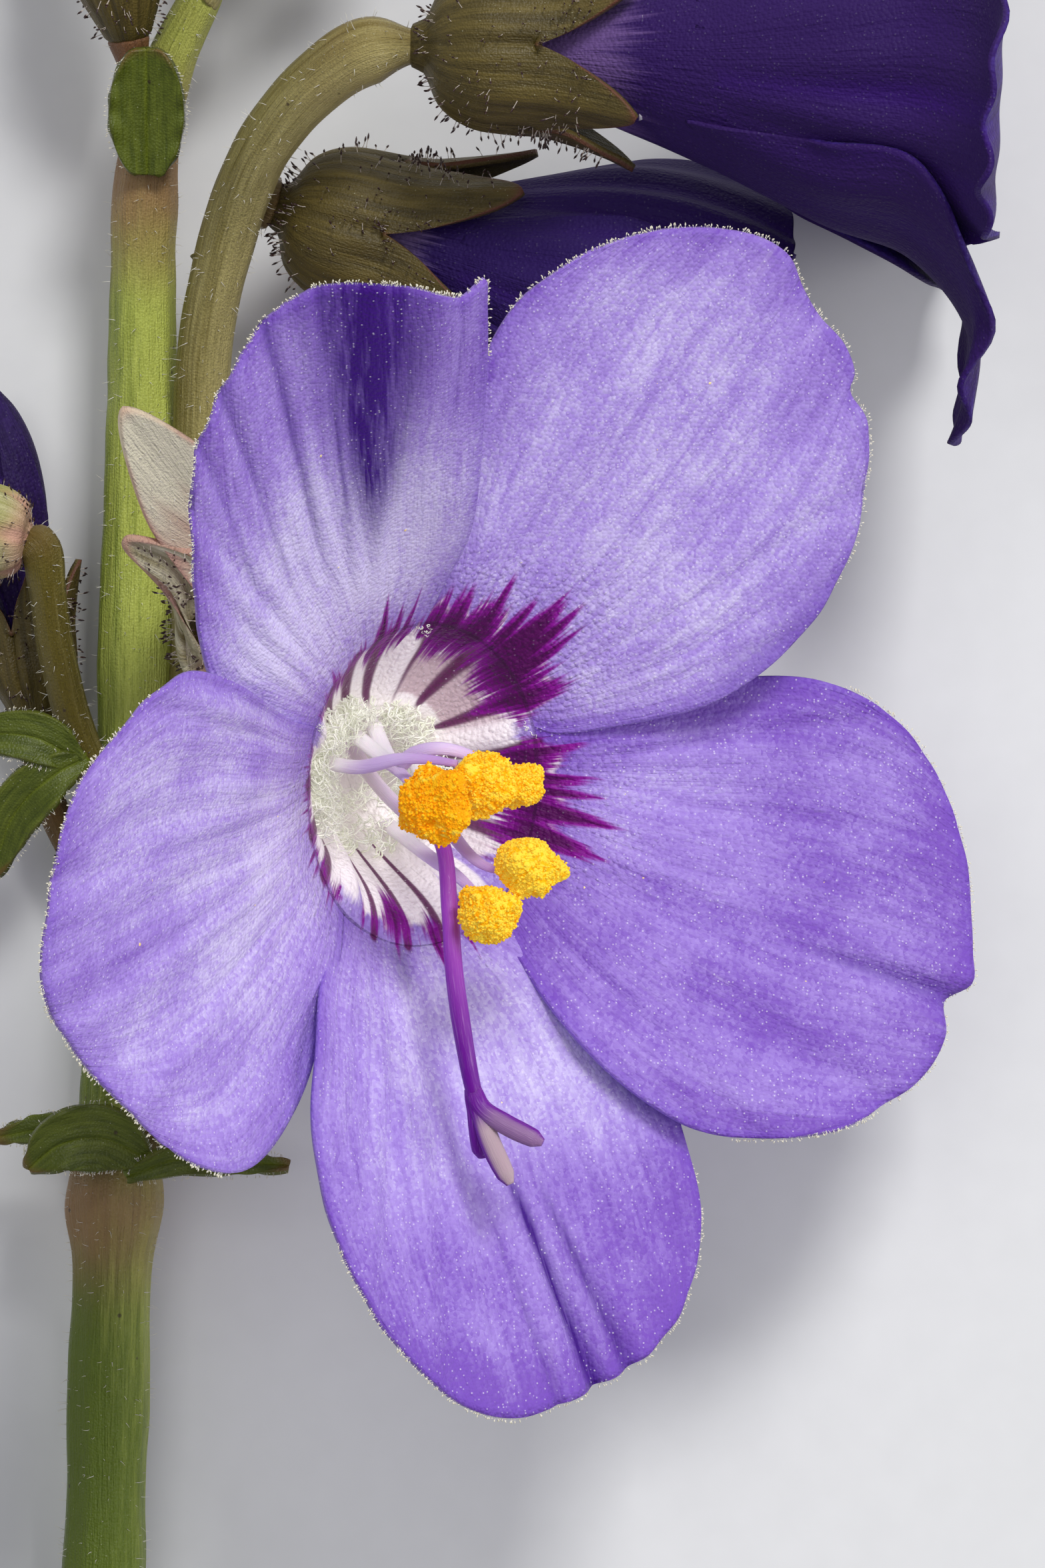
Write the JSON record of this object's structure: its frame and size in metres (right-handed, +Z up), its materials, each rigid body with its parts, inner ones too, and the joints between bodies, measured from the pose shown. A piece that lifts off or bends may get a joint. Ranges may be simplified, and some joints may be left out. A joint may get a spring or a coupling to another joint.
{
  "type": "variegated jacobs ladder",
  "caption": "Cut flowering stem of Jacob's ladder lying on its side: open violet-blue flower with orange anthers, bell-shaped and half-open flowers, buds and small bracts.",
  "frame": {"origin": "centre of the bounding box's underside, on the surface that the stem lies on", "axes": "+Z up from the surface, +Y along the stem from its cut end to its buds, +X to the side that the bell flower faces"},
  "size_m": [0.0291, 0.0878, 0.025],
  "materials": {
    "petal": "violet-blue petal, matt with a fine sparkle of cells, dark purple flames and a white throat",
    "style": "smooth purple style",
    "pollen": "granular orange pollen",
    "calyx": "hairy calyx, brownish pink to olive green",
    "stem": "downy yellow-green stem",
    "bud": "hairy green bud tinged with pink",
    "leaf": "dark green bract with a thin pinkish brown rim"
  },
  "bodies": {
    "root": {"corolla_main": "petal", "pistil_main": "style", "calyx_main": "calyx", "anther_main_1": "pollen", "anther_main_2": "pollen", "anther_main_3": "pollen", "anther_main_4": "pollen", "anther_main_5": "pollen", "corolla_bell": "petal", "pistil_bell": "style", "calyx_bell": "calyx", "anther_bell_1": "pollen", "anther_bell_2": "pollen", "anther_bell_3": "pollen", "anther_bell_4": "pollen", "anther_bell_5": "pollen", "corolla_half_open": "petal", "pistil_half_open": "style", "calyx_half_open": "calyx", "stem": "stem", "bud_left": "bud", "bud_top_end": "bud", "bud_top_side": "bud", "calyx_side_bud": "calyx", "corolla_side_bud": "petal", "calyx_top_bud": "calyx", "corolla_top_bud": "petal", "bract_lower": "leaf", "bract_left": "leaf", "bract_top": "leaf"}
  },
  "joints": []
}
